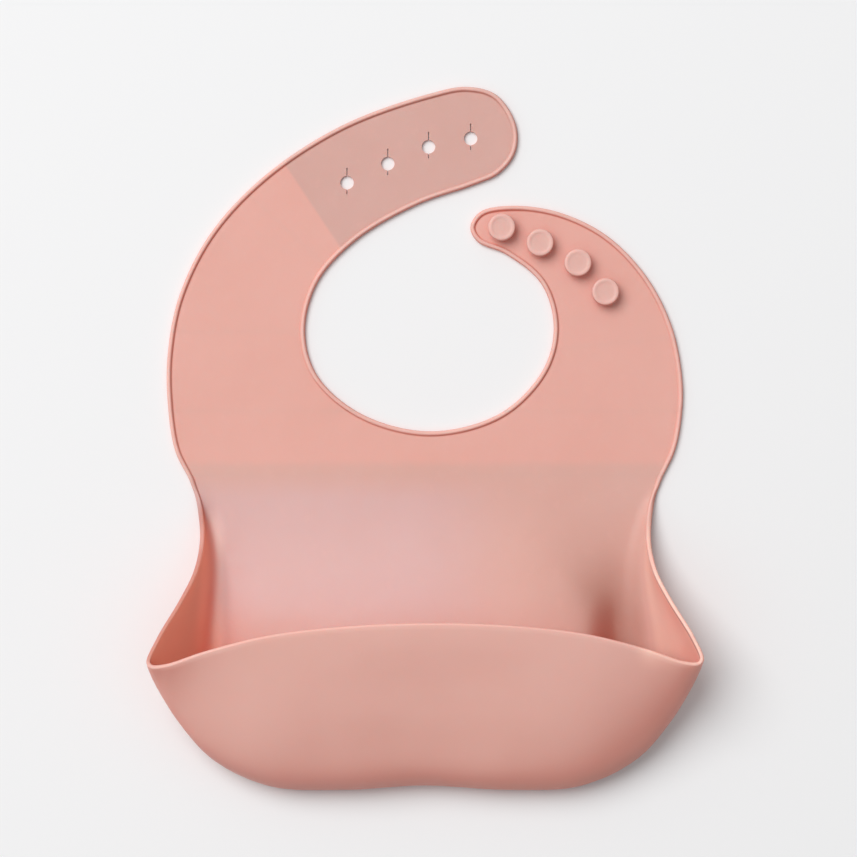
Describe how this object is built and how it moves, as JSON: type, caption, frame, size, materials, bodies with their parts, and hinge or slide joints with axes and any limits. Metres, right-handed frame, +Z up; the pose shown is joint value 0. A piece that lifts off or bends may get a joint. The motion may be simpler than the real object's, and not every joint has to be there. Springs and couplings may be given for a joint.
{
  "type": "silicone bib",
  "caption": "Soft baby bib with a stand-up scoop pocket, a beaded edge, and a neck band closed by studs that push through holes.",
  "frame": {"origin": "centre of the bib's outline, on the surface that it lies on", "axes": "+Y from the pocket to the neck straps, +Z up out of the face of the bib, +X to the right as the face is looked at"},
  "size_m": [0.233, 0.3011, 0.045],
  "materials": {
    "silicone": "matt moulded silicone, dusty pink",
    "silicone_pale": "matt moulded silicone, a little paler and greyer"
  },
  "bodies": {
    "apron": {"apron_panel": "silicone_pale", "pocket_trough": "silicone_pale", "pocket_left_gusset": "silicone_pale", "pocket_right_gusset": "silicone_pale"},
    "pocket_front": {"pocket_front_wall": "silicone_pale"},
    "yoke": {"yoke_panel": "silicone"},
    "hole_strap_root": {"hole_strap_root": "silicone"},
    "hole_strap_middle": {"hole_strap_middle": "silicone"},
    "hole_strap_tip": {"hole_strap_tip": "silicone_pale"},
    "button_strap_root": {"button_strap_root": "silicone"},
    "button_strap_tip": {"button_strap_tip": "silicone", "button_1": "silicone_pale", "button_2": "silicone_pale", "button_3": "silicone_pale", "button_4": "silicone_pale"}
  },
  "joints": [
    {"name": "yoke_fold", "type": "hinge", "parent": "apron", "child": "yoke", "pos_m": [0, -0.01, 0.0026], "axis": [1, 0, 0], "range_deg": [0, 90]},
    {"name": "hole_strap_root_bend", "type": "hinge", "parent": "yoke", "child": "hole_strap_root", "pos_m": [-0.08, 0.03, 0.0026], "axis": [1, 0, 0], "range_deg": [0, 30]},
    {"name": "hole_strap_middle_bend", "type": "hinge", "parent": "hole_strap_root", "child": "hole_strap_middle", "pos_m": [-0.072, 0.078, 0.0026], "axis": [0.866, -0.5, 0], "range_deg": [0, 30]},
    {"name": "hole_strap_tip_bend", "type": "hinge", "parent": "hole_strap_middle", "child": "hole_strap_tip", "pos_m": [-0.0495, 0.1017, 0.0026], "axis": [0.5559, -0.8313, 0], "range_deg": [0, 30]},
    {"name": "button_strap_root_bend", "type": "hinge", "parent": "yoke", "child": "button_strap_root", "pos_m": [0.08, 0.03, 0.0026], "axis": [1, 0, 0], "range_deg": [0, 35]},
    {"name": "button_strap_tip_bend", "type": "hinge", "parent": "button_strap_root", "child": "button_strap_tip", "pos_m": [0.0795, 0.052, 0.0026], "axis": [0.9798, 0.2, 0], "range_deg": [0, 35]},
    {"name": "pocket_press", "type": "hinge", "parent": "apron", "child": "pocket_front", "pos_m": [0, -0.1445, 0.0105], "axis": [-1, 0, 0], "range_deg": [0, 16], "stiffness_Nm_per_rad": 0.05, "springref_deg": -28.65, "deforming": ["pocket_left_gusset", "pocket_right_gusset"]}
  ],
  "couplings": [
    {"joint": "hole_strap_middle_bend", "follows": "hole_strap_root_bend", "ratio": 1},
    {"joint": "hole_strap_tip_bend", "follows": "hole_strap_root_bend", "ratio": 1},
    {"joint": "button_strap_tip_bend", "follows": "button_strap_root_bend", "ratio": 1}
  ]
}
